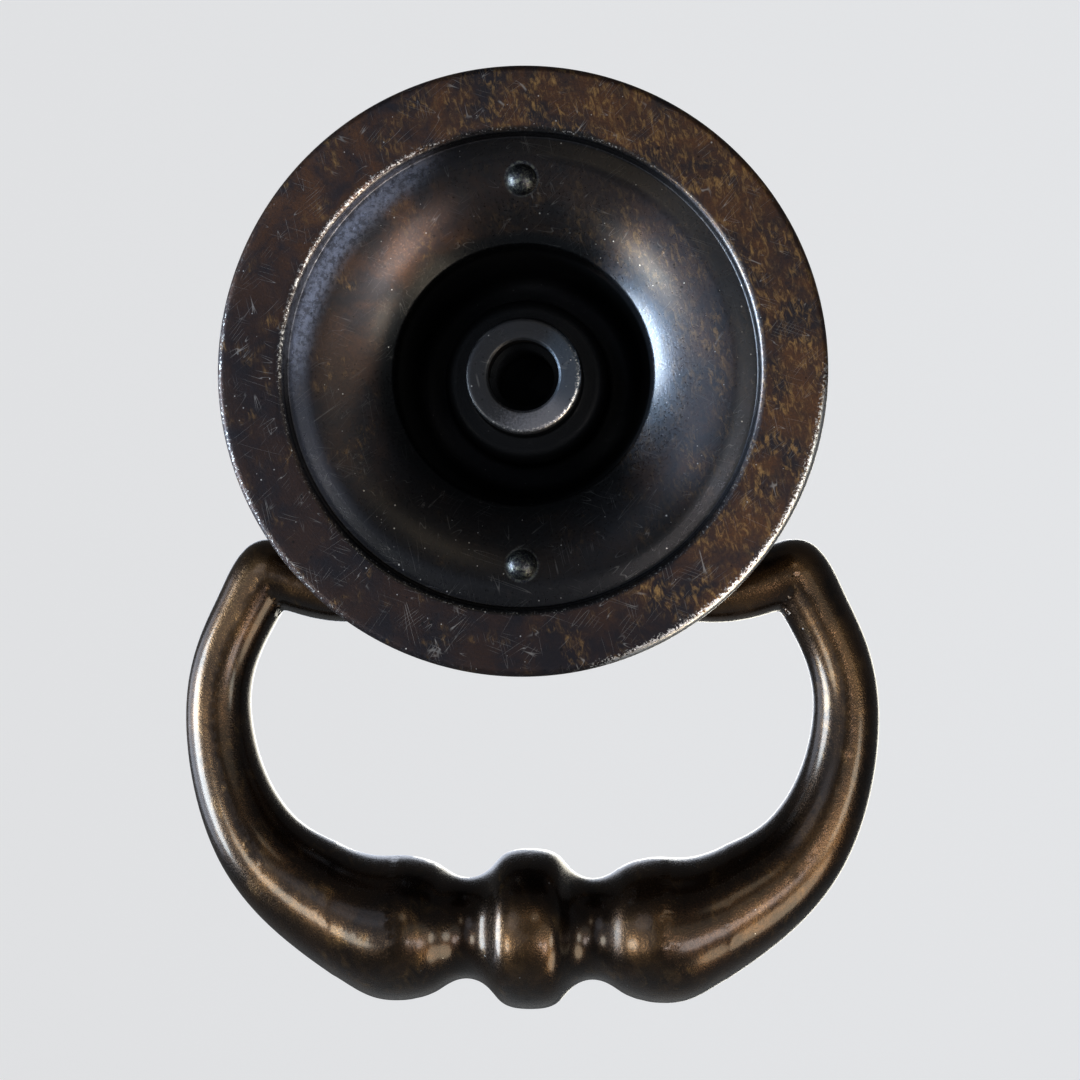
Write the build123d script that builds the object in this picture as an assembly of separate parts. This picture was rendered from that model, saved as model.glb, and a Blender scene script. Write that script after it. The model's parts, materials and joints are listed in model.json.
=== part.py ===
from build123d import *
import os
from math import cos, radians, sin, sqrt

# Drawer drop pull in two castings: a round hollow-backed plate, and a bail that hangs from its knuckle.
# Millimetres. The origin is the centre of the flat rim that lies on the drawer, on the screw's axis.
# +Z is up and the drawer is on the +Y side, so the pull stands out towards -Y.

# Rim and groove, seen from the back: radii from the screw axis, depths in front of the rim's plane
plate_radius = 21.0
rim_width = 4.2
rim_thickness = 2.0
rim_back_round = 0.55
rim_front_round = 1.0
rim_inner_round = 0.45
groove_depth = 1.0
groove_width = 0.15
groove_wall_slant = 0.1
ridge_slope_width = 1.2
ridge_depth = 0.8

# Trumpet-shaped hollow behind the drum: it leaves the ridge and meets the deep part's wall at an edge;
# the reaches say how gently it does so, and the slopes are in degrees from the rim's plane
throat_radius = 9.1
throat_depth = 3.2
throat_slope = 42.0
throat_edge_round = 0.3
trumpet_lip_reach = 2.6
trumpet_lip_slope = 5.0
trumpet_throat_reach = 1.5
hollow_wall_draft = 0.7
hollow_depth = 13.2
hollow_floor_round = 1.2

# Boss for the screw, stepped, standing on the hollow's floor
boss_radius = 4.1
boss_depth = 3.4
boss_edge = 0.25
collar_radius = 5.9
collar_depth = 7.5
collar_round = 0.9
screw_radius = 2.5
screw_hole_depth = 9.6
screw_mouth_chamfer = 0.16

# Locating pips, one above and one below the screw
pip_radius = 1.12
pip_inset = 1.55
pip_tip_depth = 0.25
pip_root_depth = 2.6

# Front of the plate: a bead over the rim's inner edge, a hollow curve, and the drum with its low dome
bead_radius = 1.75
bead_height = 4.35
bead_inner_angle = 20.0
drum_radius = 11.0
drum_shoulder_depth = 8.6
dome_edge_depth = 14.0
dome_depth = 17.0
dome_edge_round = 1.2

# Hinge knuckle under the drum, and the axis that the bail swings about
hinge_out = 14.5
hinge_drop = 15.8
knuckle_radius = 3.3
knuckle_width = 16.0
knuckle_edge_round = 0.5
web_width = 10.0
web_edge_round = 1.0
web_foot_depth = 3.2
web_setback = 0.7

# Stub pivots of the bail, and how freely they run
pivot_radius = 1.45
pivot_length = 3.2
pivot_clearance = 0.07
end_clearance = 0.25

# Turned grip, from the ring outwards: places along it, radii, and how far the curve stands off them
grip_drop = 25.45
ring_radius = 6.0
ring_cheek_out = 2.2
ring_cheek_fall = 0.55
ring_foot_out = 3.1
ring_foot_rise = 0.7
neck_middle_out = 4.8
neck_radius = 3.78
swell_foot_out = 6.2
swell_foot_rise = 0.42
swell_nose_out = 7.3
swell_nose_fall = 0.62
swell_brow_out = 8.7
swell_brow_fall = 0.12
swell_middle_out = 10.4
swell_radius = 5.5

# Arms: their middle line at the heel and the knee, above the grip and out from the swell, then at the
# widest place and at the shoulder, out from the ring's middle and down or up from the hinge
heel_reach = 4.5
heel_lift = 1.5
knee_reach = 9.95
knee_lift = 5.8
widest_reach = 13.55
widest_drop = 9.6
shoulder_inset = 3.85
shoulder_rise = 1.75
shoulder_lean = 32.0
arm_radius = 2.34
arm_taper_start = 1.15
arm_taper = 3.1
shoulder_growth = 8
arm_settling_share = 0.3
arm_section_count = 11

# Inward ends: from the thicker shoulder they dip, then run level into the knuckle. The ball that rounds
# the shoulder's outside is one step smaller than the two bars that meet in it.
shoulder_radius = 2.58
shoulder_step = 0.04
end_radius = 2.05
end_start_dip = 12.0
end_middle_inset = 3.4
end_middle_rise = 0.6
end_level_inset = 6.9
end_section_count = 6


def circle_at(solid, depth):
    """The round edge of a turned solid that lies nearest to one depth in front of the rim's plane."""
    full_circles = [edge for edge in solid.edges().filter_by(GeomType.CIRCLE) if edge.is_closed]
    return min(full_circles, key=lambda edge: abs(edge.center().Y + depth))


def ridge_radius():
    """Radius of the ridge between the groove and the trumpet, measured in from the plate's edge."""
    groove_inner = plate_radius - rim_width - rim_inner_round - groove_wall_slant - groove_width
    return groove_inner - ridge_slope_width


def plate_outside():
    """Solid of the plate's whole outside, with no hollow in it."""
    flat_back = (plate_radius - rim_back_round, 0)
    edge_back = (plate_radius, -rim_back_round)
    edge_front = (plate_radius, -(rim_thickness - rim_front_round))
    flat_front = (plate_radius - rim_front_round, -rim_thickness)
    bead_middle = plate_radius - rim_width
    bead_centre_depth = bead_height - bead_radius
    bead_foot = bead_middle + sqrt(bead_radius ** 2 - (bead_centre_depth - rim_thickness) ** 2)
    bead_top = (bead_middle, -bead_height)
    inner_angle = radians(bead_inner_angle)
    bead_inner = (bead_middle - bead_radius * cos(inner_angle),
                  -(bead_centre_depth + bead_radius * sin(inner_angle)))
    drum_top = (drum_radius, -drum_shoulder_depth)
    drum_edge = (drum_radius, -dome_edge_depth)
    dome_rise = dome_depth - dome_edge_depth
    dome_sphere = (drum_radius ** 2 + dome_rise ** 2) / (2 * dome_rise)
    half_way = drum_radius / 2
    dome_side = (half_way, dome_sphere - dome_depth - sqrt(dome_sphere ** 2 - half_way ** 2))
    outline = (
        Line((0, 0), flat_back)
        + TangentArc(flat_back, edge_back, tangent=(1, 0))
        + Line(edge_back, edge_front)
        + TangentArc(edge_front, flat_front, tangent=(0, -1))
        + Line(flat_front, (bead_foot, -rim_thickness))
        + ThreePointArc((bead_foot, -rim_thickness), bead_top, bead_inner)
        + Spline(bead_inner, drum_top, tangents=[(-1, -0.1), (0, -1)])
        + Line(drum_top, drum_edge)
        + ThreePointArc(drum_edge, dome_side, (0, -dome_depth))
        + Line((0, -dome_depth), (0, 0))
    )
    solid = revolve(make_face(outline), Axis.Y)
    return fillet(circle_at(solid, dome_edge_depth), dome_edge_round)


def plate_hollow():
    """Space behind the plate: groove, ridge, trumpet and the deep part round the boss."""
    rim_end = (plate_radius - rim_width, 0)
    wall_top = (rim_end[0] - rim_inner_round, -rim_inner_round)
    wall_foot = (wall_top[0] - groove_wall_slant, -groove_depth)
    groove_foot = (wall_foot[0] - groove_width, -groove_depth)
    ridge = (ridge_radius(), -ridge_depth)
    lip_slope = radians(trumpet_lip_slope)
    below_ridge = (ridge[0] - trumpet_lip_reach * cos(lip_slope),
                   -ridge_depth - trumpet_lip_reach * sin(lip_slope))
    throat = (throat_radius, -throat_depth)
    slope = radians(throat_slope)
    above_throat = (throat_radius + trumpet_throat_reach * cos(slope),
                    trumpet_throat_reach * sin(slope) - throat_depth)
    floor_radius = throat_radius - hollow_wall_draft
    outline = (
        Line((0, 0), rim_end)
        + TangentArc(rim_end, wall_top, tangent=(-1, 0))
        + Polyline(wall_top, wall_foot, groove_foot, ridge)
        + Bezier(ridge, below_ridge, above_throat, throat)
        + Line(throat, (floor_radius, -hollow_depth))
        + Line((floor_radius, -hollow_depth), (0, -hollow_depth))
        + Line((0, -hollow_depth), (0, 0))
    )
    space = revolve(make_face(outline), Axis.Y)
    space = fillet(circle_at(space, hollow_depth), hollow_floor_round)
    return fillet(circle_at(space, throat_depth), throat_edge_round)


def screw_boss():
    """Stepped boss on the hollow's floor, its root sunk into the drum's end wall."""
    root_depth = (hollow_depth + dome_edge_depth) / 2
    collar_top = (collar_radius - collar_round, -collar_depth)
    collar_side = (collar_radius, -(collar_depth + collar_round))
    outline = (
        Polyline((0, -boss_depth), (boss_radius - boss_edge, -boss_depth),
                 (boss_radius, -(boss_depth + boss_edge)), (boss_radius, -collar_depth), collar_top)
        + TangentArc(collar_top, collar_side, tangent=(1, 0))
        + Polyline(collar_side, (collar_radius, -root_depth), (0, -root_depth), (0, -boss_depth))
    )
    return revolve(make_face(outline), Axis.Y)


def screw_hole():
    """Blind hole for the machine screw, with a small chamfer at its mouth."""
    mouth_radius = screw_radius + screw_mouth_chamfer
    hole_end = boss_depth + screw_hole_depth
    outline = Polyline((0, -boss_depth), (mouth_radius, -boss_depth),
                       (screw_radius, -(boss_depth + screw_mouth_chamfer)),
                       (screw_radius, -hole_end), (0, -hole_end), (0, -boss_depth))
    return revolve(make_face(outline), Axis.Y)


def locating_pip(height):
    """Short round-ended peg at one height on the plate's back, rooted in the trumpet's wall."""
    side_end = (pip_radius, -(pip_tip_depth + pip_radius))
    outline = (
        Polyline((0, -pip_tip_depth), (0, -pip_root_depth), (pip_radius, -pip_root_depth), side_end)
        + TangentArc(side_end, (0, -pip_tip_depth), tangent=(0, 1))
    )
    return Pos(0, 0, height) * revolve(make_face(outline), Axis.Y)


def hinge_line():
    """Plane whose normal is the line that the bail swings about."""
    return Plane(origin=(0, -hinge_out, -hinge_drop), z_dir=(1, 0, 0))


def hinge_knuckle():
    """Barrel that the bail's pivots enter, on a web that joins it to the drum and the plate."""
    barrel = hinge_line() * Cylinder(knuckle_radius, knuckle_width)
    barrel = fillet(barrel.edges().filter_by(GeomType.CIRCLE), knuckle_edge_round)
    inside_drum = -drum_radius * 0.8
    front = -(dome_edge_depth - web_setback)
    web_foot_drop = plate_radius - rim_width - bead_radius
    barrel_below = hinge_drop + knuckle_radius / 2
    side = Polyline((0, front, inside_drum), (0, front, -drum_radius), (0, -hinge_out, -hinge_drop),
                    (0, -hinge_out + knuckle_radius / 2, -barrel_below),
                    (0, -web_foot_depth, -web_foot_drop), (0, -web_foot_depth, inside_drum),
                    close=True)
    web = extrude(make_face(side), web_width / 2, both=True)
    flank_edges = [edge for edge in web.edges() if edge not in web.edges().filter_by(Axis.X)]
    web = fillet(flank_edges, web_edge_round)
    return barrel + web


def backplate():
    """The plate as one casting, in its place."""
    cross_hole = hinge_line() * Cylinder(pivot_radius + pivot_clearance, 2 * knuckle_width)
    body = plate_outside() + hinge_knuckle() - plate_hollow() + screw_boss() - screw_hole()
    pip_height = ridge_radius() - pip_inset
    body = body + locating_pip(pip_height) + locating_pip(-pip_height)
    return body - cross_hole


def half_grip():
    """Right half of the turned grip, from the ring's middle to the thickest place of the swell."""
    def at(out, radius):
        return (out, 0, radius - grip_drop)

    top = Spline(at(0, ring_radius), at(ring_cheek_out, ring_radius - ring_cheek_fall),
                 at(ring_foot_out, neck_radius + ring_foot_rise),
                 at(neck_middle_out, neck_radius),
                 at(swell_foot_out, neck_radius + swell_foot_rise),
                 at(swell_nose_out, swell_radius - swell_nose_fall),
                 at(swell_brow_out, swell_radius - swell_brow_fall),
                 at(swell_middle_out, swell_radius), tangents=[(1, 0, 0), (1, 0, 0)])
    outline = top + Polyline(at(swell_middle_out, swell_radius), at(swell_middle_out, 0),
                             at(0, 0), at(0, ring_radius))
    return revolve(make_face(outline), Axis((0, 0, -grip_drop), (1, 0, 0)))


def tapered_bar(path, sections, radius_at, settling_share=0.0):
    """Round bar lofted along a path; radius_at gives its radius at each share of the length.

    Its sections turn square to the path over the settling share, so that a tight first bend stays full.
    """
    rings = []
    for step in range(sections + 1):
        share = step / sections
        square = 1 if share >= settling_share else share / settling_share
        normal = (path % 0) * (1 - square) + (path % share) * square
        section_plane = Plane(origin=path @ share, x_dir=(0, 1, 0), z_dir=normal)
        rings.append(section_plane * Circle(radius_at(share)))
    return loft(rings)


def shoulder_out():
    """How far the shoulder's middle is from the ring's middle plane."""
    return swell_middle_out + widest_reach - shoulder_inset


def arm():
    """Right arm, tapering from the grip's swell, then thickening a little into the shoulder."""
    lean = radians(shoulder_lean)
    path = Spline((swell_middle_out, 0, -grip_drop),
                  (swell_middle_out + heel_reach, 0, heel_lift - grip_drop),
                  (swell_middle_out + knee_reach, 0, knee_lift - grip_drop),
                  (swell_middle_out + widest_reach, 0, -widest_drop),
                  (shoulder_out(), 0, shoulder_rise),
                  tangents=[(1, 0, 0), (-sin(lean), 0, cos(lean))])

    def radius_at(share):
        swell = (swell_radius - arm_radius) * (1 - share ** arm_taper_start) ** arm_taper
        return arm_radius + swell + (shoulder_radius - arm_radius) * share ** shoulder_growth

    return tapered_bar(path, arm_section_count, radius_at, arm_settling_share)


def inward_end():
    """Right end of the bail, from the shoulder inwards to the knuckle, with its stub pivot."""
    dip = radians(end_start_dip)
    end_out = knuckle_width / 2 + end_clearance
    level_out = shoulder_out() - end_level_inset
    path = Spline((shoulder_out(), 0, shoulder_rise),
                  (shoulder_out() - end_middle_inset, 0, end_middle_rise),
                  (level_out, 0, 0), tangents=[(-cos(dip), 0, -sin(dip)), (-1, 0, 0)])

    def radius_at(share):
        return shoulder_radius + (end_radius - shoulder_radius) * share

    level = Plane(origin=(end_out, 0, 0), z_dir=(1, 0, 0))
    level_bar = level * Cylinder(end_radius, level_out - end_out,
                                 align=(Align.CENTER, Align.CENTER, Align.MIN))
    pivot = level * Cylinder(pivot_radius, pivot_length + end_clearance,
                             align=(Align.CENTER, Align.CENTER, Align.MAX))
    return tapered_bar(path, end_section_count, radius_at) + level_bar + pivot


def bail():
    """The bail as one casting, hanging straight down from the knuckle."""
    shoulder = Pos(shoulder_out(), 0, shoulder_rise) * Sphere(shoulder_radius - shoulder_step)
    half = (half_grip() + arm()) + (inward_end() + shoulder)
    whole = half + mirror(half, about=Plane.YZ)
    return Pos(0, -hinge_out, -hinge_drop) * whole


os.makedirs("parts", exist_ok=True)
export_step(backplate(), "parts/backplate.step")
export_step(bail(), "parts/bail.step")
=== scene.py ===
import json
import math
import bmesh
import bpy
import numpy as np
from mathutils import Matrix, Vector
from mathutils.geometry import interpolate_bezier


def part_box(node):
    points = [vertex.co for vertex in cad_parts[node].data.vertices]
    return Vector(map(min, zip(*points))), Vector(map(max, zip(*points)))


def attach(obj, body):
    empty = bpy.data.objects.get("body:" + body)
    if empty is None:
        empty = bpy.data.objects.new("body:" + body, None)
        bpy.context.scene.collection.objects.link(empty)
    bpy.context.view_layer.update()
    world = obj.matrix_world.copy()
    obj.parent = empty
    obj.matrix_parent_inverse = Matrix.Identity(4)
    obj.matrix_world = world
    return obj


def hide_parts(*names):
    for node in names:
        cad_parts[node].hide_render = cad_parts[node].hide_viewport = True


# A drawer drop pull in dark antiqued brass, seen from behind: the turned plate and the hanging bail.
# Places are metres, written in millimetres times MM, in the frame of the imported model: +Z is up and the
# drawer is on the +Y side. "Depth" is how far a place lies in front of the rim's plane, towards -Y.

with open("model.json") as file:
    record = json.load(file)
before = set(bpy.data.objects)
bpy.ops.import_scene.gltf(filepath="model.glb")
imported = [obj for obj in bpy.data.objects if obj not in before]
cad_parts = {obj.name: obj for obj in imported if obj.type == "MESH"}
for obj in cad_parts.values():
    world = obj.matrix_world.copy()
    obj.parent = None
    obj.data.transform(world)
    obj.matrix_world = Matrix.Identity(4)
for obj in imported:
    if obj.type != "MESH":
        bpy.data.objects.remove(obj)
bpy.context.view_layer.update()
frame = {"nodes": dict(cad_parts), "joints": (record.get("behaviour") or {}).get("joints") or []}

MM = 0.001

# Turned plate: rim, groove, ridge and trumpet
plate_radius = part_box("backplate")[1][0]
rim_inner_radius = plate_radius - 4.2 * MM
rim_inner_round = 0.45 * MM
groove_width = 0.15 * MM
groove_wall_slant = 0.1 * MM
wall_top_radius = rim_inner_radius - rim_inner_round
groove_wall_radius = wall_top_radius - groove_wall_slant
groove_radius = groove_wall_radius - groove_width
groove_depth = 1.0 * MM
ridge_radius = groove_radius - 1.2 * MM
ridge_depth = 0.8 * MM
ridge_round = 0.36 * MM
throat_radius = 9.1 * MM
throat_depth = 3.2 * MM
throat_slope = math.radians(42)
throat_edge_round = 0.3 * MM
lip_reach = 2.6 * MM
lip_slope = math.radians(5)
throat_reach = 1.5 * MM
floor_radius = 8.4 * MM
floor_depth = 13.2 * MM
floor_round = 1.2 * MM

# Screw boss and hole
boss_radius = 4.1 * MM
boss_depth = 3.4 * MM
collar_radius = 5.9 * MM
collar_depth = 7.5 * MM
collar_round = 0.9 * MM
screw_radius = 2.5 * MM
screw_mouth_radius = 2.66 * MM
screw_hole_end = 13.0 * MM
thread_pitch = 0.8 * MM
thread_height = 0.42 * MM
thread_flank = 0.3 * MM
thread_crest = 0.1 * MM
thread_start = boss_depth + 1.9 * MM
thread_turns = 9

# Locating pips
pip_radius = 1.12 * MM
pip_height = ridge_radius - 1.55 * MM
pip_tip_depth = 0.25 * MM
pip_root_depth = 2.6 * MM

# Front of the plate
rim_thickness = 2.0 * MM
rim_back_round = 0.55 * MM
rim_front_round = 1.0 * MM
bead_middle = rim_inner_radius
bead_radius = 1.75 * MM
bead_height = 4.35 * MM
drum_radius = 11.0 * MM
drum_shoulder_depth = 8.6 * MM
dome_edge_depth = 14.0 * MM
dome_depth = 17.0 * MM
dome_edge_round = 1.2 * MM
bead_end_angle = 160
cove_start_reach = 3.2 * MM
cove_start_rise = 0.3 * MM
cove_end_reach = 2.6 * MM

# Bail: where the turned swell meets the bent arm, out from the middle and down from the hinge
swell_middle = 10.4 * MM
swell_blend_inner = 2.2 * MM
swell_blend_outer = 4.5 * MM
swell_blend_drop = 18 * MM
casting_voxel = 0.2 * MM
rubbed_height = 0.6 * MM
rubbed_smoothing = 160

# Hinge knuckle
hinge = Vector(frame["joints"][0]["pos_m"])
knuckle_radius = 3.3 * MM
knuckle_half_width = 8.0 * MM
knuckle_edge_round = 0.5 * MM
cross_hole_radius = 1.52 * MM
web_half_width = 5.0 * MM
web_edge_round = 1.0 * MM
web_front_depth = 13.3 * MM
web_foot_depth = 3.2 * MM
web_foot_drop = 15.05 * MM
web_roots = ((9.2 * MM, 10.2 * MM), (5.2 * MM, 10.9 * MM), (3.2 * MM, 12.6 * MM))

turning_steps = 288
same_place = 0.002 * MM

# Camera, as the photograph was taken
camera_place = Vector((-6.236, 124.05, -11.592)) * MM
camera_turn = math.radians(2.27)
camera_lens = 60.5
sensor_width = 36.0

# Lamps' target and colours
lit_place = Vector((0, -5, -12)) * MM
cool = (0.80, 0.92, 1.0)
sky_blue = (0.76, 0.84, 1.0)
warm_white = (1.0, 0.96, 0.82)
rosy = (1.0, 0.88, 0.84)
golden = (1.0, 0.82, 0.58)

# Stage
floor_height = -500 * MM
stage_radius = 1500 * MM
stage_bend = 450 * MM
stage_height = 1300 * MM
stage_bend_steps = 12


def mm(length):
    """A length in metres as the millimetres that the materials work in."""
    return length / MM


def deselect_all():
    if bpy.context.object and bpy.context.object.mode != "OBJECT":
        bpy.ops.object.mode_set(mode="OBJECT")
    bpy.ops.object.select_all(action="DESELECT")


def make_active(piece):
    deselect_all()
    piece.select_set(True)
    bpy.context.view_layer.objects.active = piece


def name_piece(name):
    """Names the primitive that was just added, and its mesh."""
    piece = bpy.context.object
    piece.name = name
    piece.data.name = name
    return piece


def edit(piece, select_mode="VERT"):
    make_active(piece)
    bpy.ops.object.mode_set(mode="EDIT")
    bpy.ops.mesh.select_mode(type=select_mode)


def finish_edit(piece):
    """Merges doubles, turns the faces outwards and leaves edit mode."""
    bpy.ops.mesh.select_all(action="SELECT")
    bpy.ops.mesh.remove_doubles(threshold=same_place)
    bpy.ops.mesh.normals_make_consistent(inside=False)
    if bmesh.from_edit_mesh(piece.data).calc_volume(signed=True) < 0:
        bpy.ops.mesh.flip_normals()
    bpy.ops.object.mode_set(mode="OBJECT")


def select_where(piece, wanted):
    """In edit mode, selects only the vertices whose place passes the test."""
    bpy.ops.mesh.select_all(action="DESELECT")
    mesh = bmesh.from_edit_mesh(piece.data)
    for vertex in mesh.verts:
        if wanted(vertex.co):
            vertex.select_set(True)
    mesh.select_flush(True)
    bmesh.update_edit_mesh(piece.data)


def apply_modifier(piece, kind, **settings):
    make_active(piece)
    modifier = piece.modifiers.new(kind.lower(), kind)
    for name, value in settings.items():
        setattr(modifier, name, value)
    bpy.ops.object.modifier_apply(modifier=modifier.name)


def join_solid(piece, other, operation="UNION"):
    """Cuts or joins another solid into a piece, and deletes the other."""
    apply_modifier(piece, "BOOLEAN", object=other, operation=operation, solver="EXACT")
    bpy.data.objects.remove(other, do_unlink=True)


def shade_smooth(piece, crease_angle):
    make_active(piece)
    bpy.ops.object.shade_smooth_by_angle(angle=math.radians(crease_angle))


def arc(centre, radius, start, end, steps):
    """Points of an arc in the outline's plane; angles in degrees from the outward direction."""
    points = []
    for step in range(steps + 1):
        angle = math.radians(start + (end - start) * step / steps)
        points.append(Vector((centre[0] + radius * math.cos(angle), centre[1] + radius * math.sin(angle))))
    return points


def curve(start, start_handle, end_handle, end, steps):
    """Points of one smooth curve in the outline's plane."""
    corners = [Vector((place[0], place[1], 0)) for place in (start, start_handle, end_handle, end)]
    return [point.xy for point in interpolate_bezier(*corners, steps + 1)]


def straight(start, end, steps):
    start = Vector(start)
    end = Vector(end)
    return [start.lerp(end, step / steps) for step in range(steps + 1)]


def beside_axis(points, height=0.0):
    """Places of (radius, depth) points of an outline, drawn beside an axis along Y."""
    return [Vector((radius, -depth, height)) for radius, depth in points]


def draw_line(name, places):
    """Draws a line through places, one extruded vertex after another, and stays in edit mode."""
    deselect_all()
    bpy.ops.mesh.primitive_plane_add(size=MM, location=(0, 0, 0))
    piece = name_piece(name)
    edit(piece)
    bpy.ops.mesh.select_all(action="SELECT")
    bpy.ops.mesh.merge(type="CENTER")
    place = places[0]
    bpy.ops.transform.translate(value=place)
    for next_place in places[1:]:
        step = next_place - place
        if step.length > same_place:
            bpy.ops.mesh.extrude_vertices_move(TRANSFORM_OT_translate={"value": step})
            place = next_place
    return piece


def turn_line(piece, steps, centre=(0, 0, 0), axis=(0, 1, 0)):
    """Spins the drawn line once round an axis."""
    bpy.ops.mesh.select_all(action="SELECT")
    bpy.ops.mesh.spin(steps=steps, angle=2 * math.pi, center=centre, axis=axis)
    finish_edit(piece)


def round_corner(piece, radius, depth, size, steps):
    """Rounds one corner of a drawn outline."""
    place = Vector((radius, -depth, 0))
    select_where(piece, lambda point: (point - place).length < same_place)
    bpy.ops.mesh.bevel(offset=size, offset_type="OFFSET", segments=steps, affect="VERTICES")


def back_outline():
    """From the bottom of the screw hole, over the boss, the throat and the trumpet, to the rim."""
    points = [(0, screw_hole_end), (screw_radius, screw_hole_end)]
    points += [(screw_radius, boss_depth + 0.16 * MM), (screw_mouth_radius, boss_depth)]
    points += straight((screw_mouth_radius, boss_depth), (boss_radius, boss_depth), 3)
    points += straight((boss_radius, boss_depth), (boss_radius, collar_depth), 4)
    points += arc((collar_radius - collar_round, collar_depth + collar_round), collar_round, -90, 0, 8)
    points += straight((collar_radius, collar_depth + collar_round), (collar_radius, floor_depth), 3)
    points += straight((collar_radius, floor_depth), (floor_radius - floor_round, floor_depth), 2)
    points += arc((floor_radius - floor_round, floor_depth - floor_round), floor_round, 90, 10, 6)
    points += straight((floor_radius + 0.05 * MM, floor_depth - floor_round),
                       (throat_radius, throat_depth), 5)
    above_throat = (throat_radius + throat_reach * math.cos(throat_slope),
                    throat_depth - throat_reach * math.sin(throat_slope))
    below_ridge = (ridge_radius - lip_reach * math.cos(lip_slope),
                   ridge_depth + lip_reach * math.sin(lip_slope))
    points += curve((throat_radius, throat_depth), above_throat, below_ridge, (ridge_radius, ridge_depth), 18)
    points += straight((ridge_radius, ridge_depth), (groove_radius, groove_depth), 1)
    points += straight((groove_radius, groove_depth), (groove_wall_radius, groove_depth), 2)
    points += straight((groove_wall_radius, groove_depth), (wall_top_radius, rim_inner_round), 2)
    points += arc((rim_inner_radius, rim_inner_round), rim_inner_round, 180, 270, 8)
    points += straight((rim_inner_radius, 0), (plate_radius - rim_back_round, 0), 8)
    return points


def front_outline():
    """From the rim's outer edge, over the bead and the hollow curve, to the top of the dome."""
    points = arc((plate_radius - rim_back_round, rim_back_round), rim_back_round, -90, 0, 8)
    points += arc((plate_radius - rim_front_round, rim_thickness - rim_front_round),
                  rim_front_round, 0, 90, 8)
    bead_centre = (bead_middle, bead_height - bead_radius)
    bead_foot_angle = math.degrees(math.asin((rim_thickness - bead_centre[1]) / bead_radius))
    points += arc(bead_centre, bead_radius, bead_foot_angle, bead_end_angle, 18)
    bead_end = points[-1]
    points += curve(bead_end, (bead_end[0] - cove_start_reach, bead_end[1] + cove_start_rise),
                    (drum_radius, drum_shoulder_depth - cove_end_reach),
                    (drum_radius, drum_shoulder_depth), 16)
    dome_rise = dome_depth - dome_edge_depth
    dome_sphere = (drum_radius ** 2 + dome_rise ** 2) / (2 * dome_rise)
    edge_angle = math.degrees(math.acos(drum_radius / dome_sphere))
    points += straight((drum_radius, drum_shoulder_depth), (drum_radius, dome_edge_depth), 5)
    points += arc((0, dome_depth - dome_sphere), dome_sphere, edge_angle, 90, 14)
    return points


def turned_plate():
    """The turned part of the casting, its sharp corners slightly rounded as cast and rubbed."""
    piece = draw_line("drop_pull_plate", beside_axis(back_outline() + front_outline()))
    for radius, depth, size in (
            (screw_mouth_radius, boss_depth, 0.06 * MM),
            (boss_radius, boss_depth, 0.32 * MM),
            (boss_radius, collar_depth, 0.25 * MM),
            (collar_radius, floor_depth, 0.5 * MM),
            (throat_radius, throat_depth, throat_edge_round),
            (ridge_radius, ridge_depth, ridge_round),
            (groove_radius, groove_depth, 0.07 * MM),
            (groove_wall_radius, groove_depth, 0.07 * MM),
            (drum_radius, dome_edge_depth, dome_edge_round)):
        round_corner(piece, radius, depth, size, 4)
    turn_line(piece, turning_steps)
    return piece


def locating_pip(name, height):
    """A short round-ended peg on the plate's back."""
    outline = [(0, pip_tip_depth)]
    outline += arc((0, pip_tip_depth + pip_radius), pip_radius, -90, 0, 10)
    outline += [(pip_radius, pip_root_depth), (0, pip_root_depth)]
    piece = draw_line(name, beside_axis(outline, height))
    turn_line(piece, 48, (0, 0, height))
    return piece


def knuckle_barrel():
    """The hinge barrel: a tube with rounded ends, open for the pivots."""
    flat_radius = knuckle_radius - knuckle_edge_round
    edge = knuckle_half_width - knuckle_edge_round
    outline = [(cross_hole_radius, knuckle_half_width)]
    outline += [(radius, along) for along, radius in
                arc((edge, flat_radius), knuckle_edge_round, 0, 90, 6)]
    outline += [(radius, -along) for radius, along in reversed(outline)] + outline[:1]
    places = [hinge + Vector((along, 0, radius)) for radius, along in outline]
    piece = draw_line("knuckle_barrel", places)
    turn_line(piece, 96, hinge, (1, 0, 0))
    return piece


def knuckle_web():
    """The web that carries the barrel: its side view drawn, filled, thickened and rounded."""
    corners = [(web_front_depth, web_roots[0][1]), (web_front_depth, drum_radius), (-hinge.y, -hinge.z),
               (-hinge.y - knuckle_radius / 2, -hinge.z + knuckle_radius / 2),
               (web_foot_depth, web_foot_drop), *reversed(web_roots)]
    piece = draw_line("knuckle_web", [Vector((-web_half_width, -depth, -drop)) for depth, drop in corners])
    bpy.ops.mesh.select_all(action="SELECT")
    bpy.ops.mesh.edge_face_add()
    bpy.ops.mesh.extrude_region_move(TRANSFORM_OT_translate={"value": (2 * web_half_width, 0, 0)})
    bpy.ops.mesh.select_all(action="SELECT")
    bpy.ops.mesh.normals_make_consistent(inside=False)
    for side in (-web_half_width, web_half_width):
        select_where(piece, lambda point: abs(point.x - side) < same_place)
        bpy.ops.mesh.bevel(offset=web_edge_round, segments=6, affect="EDGES")
    finish_edit(piece)
    return piece


def barrel_bore():
    """The pivots' cross hole as a solid, to clear the web inside the barrel."""
    deselect_all()
    bpy.ops.mesh.primitive_cylinder_add(vertices=96, radius=cross_hole_radius, depth=3 * knuckle_half_width,
                                        location=hinge, rotation=(0, math.radians(90), 0))
    piece = name_piece("barrel_bore")
    bpy.ops.object.transform_apply(location=True, rotation=True, scale=True)
    return piece


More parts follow.
